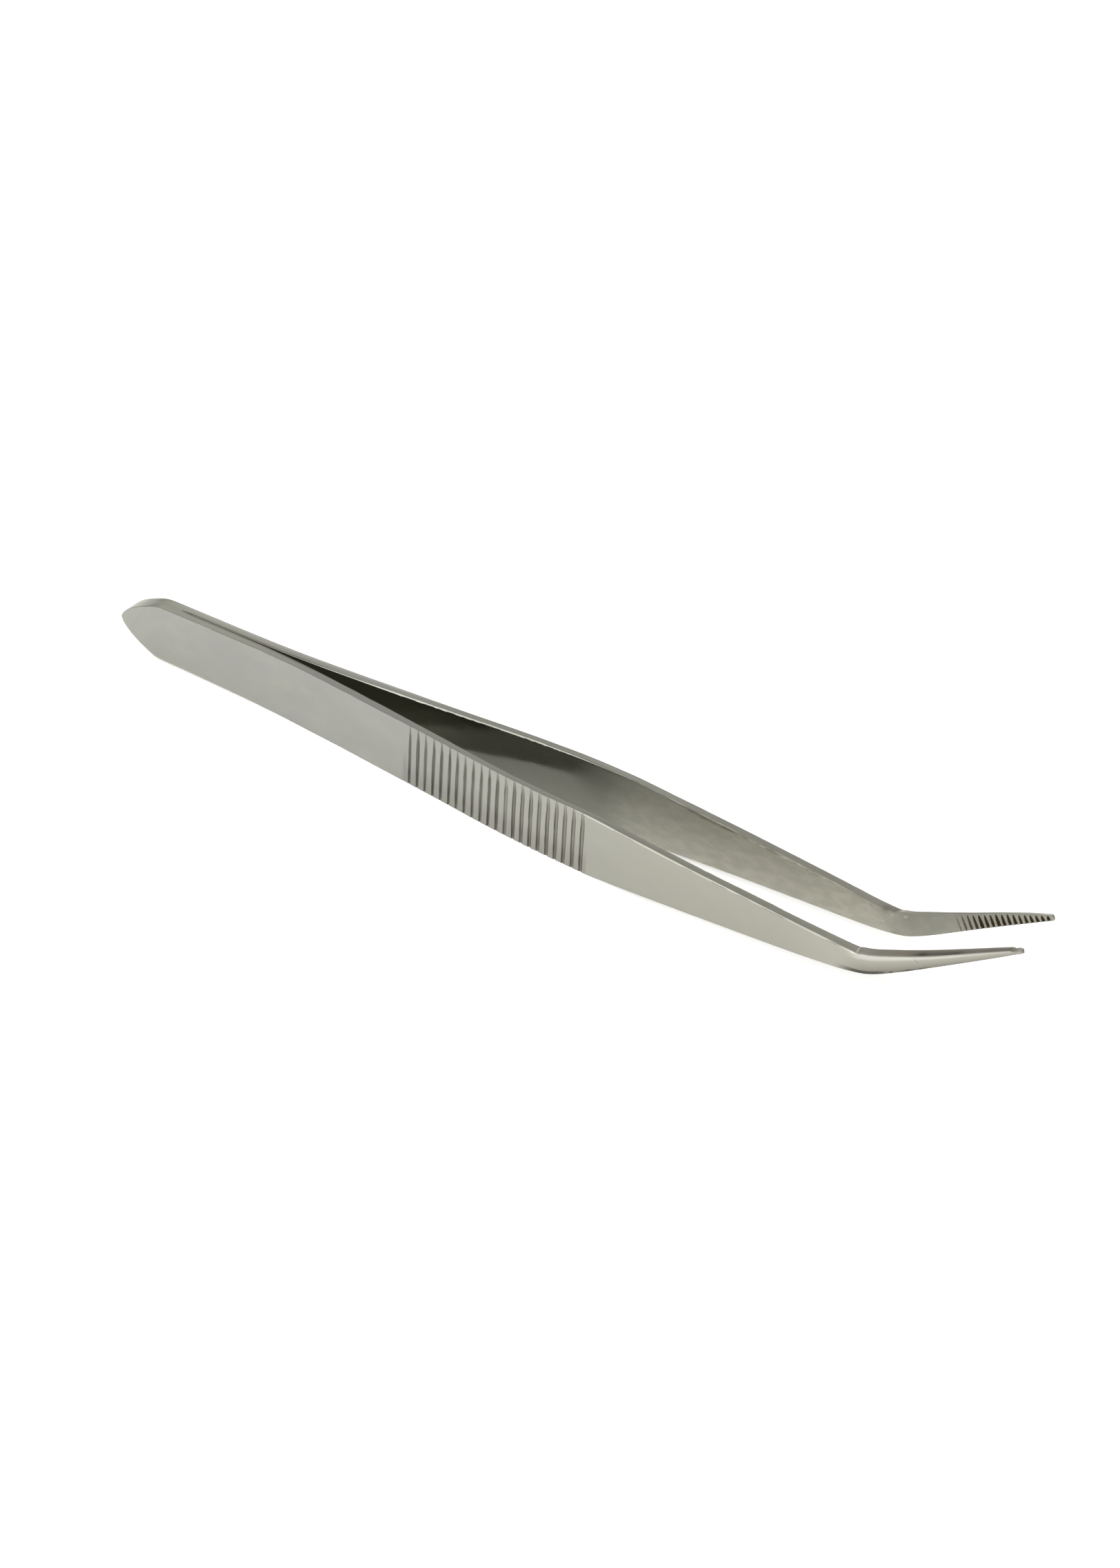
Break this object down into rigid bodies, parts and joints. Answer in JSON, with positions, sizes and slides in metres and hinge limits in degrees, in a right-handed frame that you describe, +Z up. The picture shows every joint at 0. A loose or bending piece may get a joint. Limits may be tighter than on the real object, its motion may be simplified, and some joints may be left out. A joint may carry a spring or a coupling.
{
  "type": "angled serrated tweezers",
  "caption": "Two-arm spring steel tweezers with cross-grooved grips and upward-angled serrated tips, fused together at the tail.",
  "frame": {"origin": "middle of the bottom of the box round the whole object, on the plane the tweezers stand on, halfway between the two arms", "axes": "+X along the blades from the fused tail towards the tips, +Y towards the left arm, +Z up, which is the way the tips bend"},
  "size_m": [0.15, 0.0124, 0.0175],
  "materials": {
    "arm_steel": "satin brushed stainless steel, slightly warm grey, brighter on worn edges",
    "weld_steel": "fused and ground stainless steel, duller than the arms"
  },
  "bodies": {
    "tail": {"left_arm_root": "arm_steel", "right_arm_root": "arm_steel", "tail_weld": "weld_steel"},
    "left_arm": {"left_arm": "arm_steel"},
    "right_arm": {"right_arm": "arm_steel"}
  },
  "joints": [
    {"name": "left_arm_flex", "type": "hinge", "parent": "tail", "child": "left_arm", "pos_m": [-0.05, 0.0008, 0.00485], "axis": [0, 0, -1], "range_deg": [0, 1.7], "stiffness_Nm_per_rad": 17},
    {"name": "right_arm_flex", "type": "hinge", "parent": "tail", "child": "right_arm", "pos_m": [-0.05, -0.0008, 0.00485], "axis": [0, 0, 1], "range_deg": [0, 1.7], "stiffness_Nm_per_rad": 17}
  ]
}
